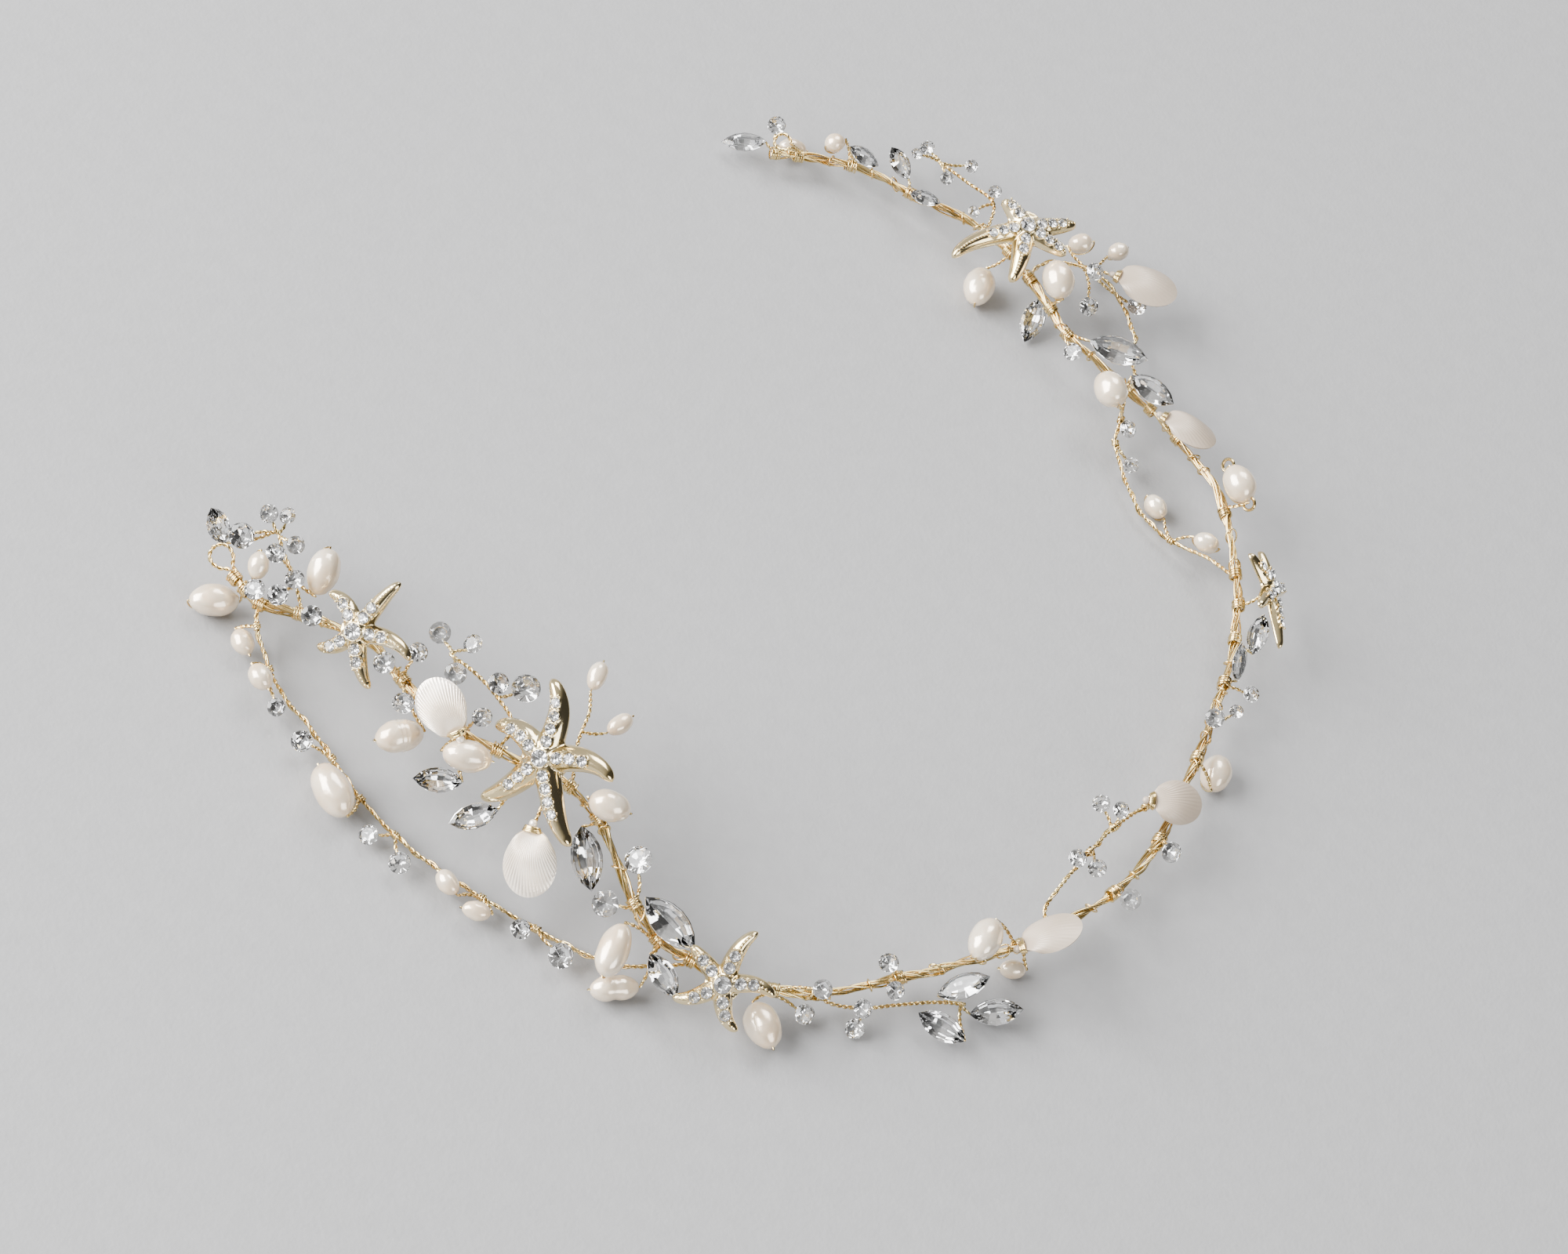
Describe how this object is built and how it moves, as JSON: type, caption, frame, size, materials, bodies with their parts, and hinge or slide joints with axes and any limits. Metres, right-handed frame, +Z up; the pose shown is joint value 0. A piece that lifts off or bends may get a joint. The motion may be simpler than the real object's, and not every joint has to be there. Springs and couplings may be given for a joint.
{
  "type": "hair vine",
  "caption": "Flexible wire hair vine that carries pearls, crystals, scallop shells and starfish on twisted stalks, with a small loop at each end for a hairpin.",
  "frame": {"origin": "middle of the vine's own box, at the level of the table that its lowest pearls lie on", "axes": "+Z up from the table, +Y along the longer side from the drop strand to the far strand, +X to the outside of the bow"},
  "size_m": [0.1465, 0.1781, 0.025],
  "materials": {
    "gold_wire": "polished pale gold plating on copper wire",
    "starfish_gold": "cast, polished pale gold plating",
    "crystal": "foil backed cut glass",
    "pearl": "lustrous ivory nacre",
    "shell": "satin champagne"
  },
  "bodies": {
    "root": {"stem": "gold_wire", "drop_strand": "gold_wire", "front_strand": "gold_wire", "right_strand": "gold_wire", "far_strand": "gold_wire", "left_pin_loop": "gold_wire", "far_pin_loop": "gold_wire", "left_sprigs": "gold_wire", "middle_sprigs": "gold_wire", "front_sprigs": "gold_wire", "right_sprigs": "gold_wire", "far_sprigs": "gold_wire", "drop_sprigs": "gold_wire", "left_crystals": "crystal", "middle_crystals": "crystal", "front_crystals": "crystal", "right_crystals": "crystal", "far_crystals": "crystal", "drop_crystals": "crystal", "left_small_pearls": "pearl", "middle_small_pearls": "pearl", "front_small_pearls": "pearl", "right_small_pearls": "pearl", "far_small_pearls": "pearl", "drop_small_pearls": "pearl", "pearl_1": "pearl", "pearl_2": "pearl", "pearl_3": "pearl", "pearl_4": "pearl", "pearl_5": "pearl", "pearl_6": "pearl", "pearl_7": "pearl", "pearl_8": "pearl", "pearl_9": "pearl", "pearl_10": "pearl", "pearl_11": "pearl", "pearl_12": "pearl", "pearl_13": "pearl", "pearl_14": "pearl", "pearl_15": "pearl", "shell_1": "shell", "shell_2": "shell", "shell_3": "shell", "shell_4": "shell", "shell_5": "shell", "shell_6": "shell", "starfish_1": "starfish_gold", "starfish_2": "starfish_gold", "starfish_3": "starfish_gold", "starfish_4": "starfish_gold", "starfish_5": "starfish_gold", "starfish_1_stones": "crystal", "starfish_2_stones": "crystal", "starfish_3_stones": "crystal", "starfish_4_stones": "crystal", "starfish_5_stones": "crystal"}
  },
  "joints": []
}
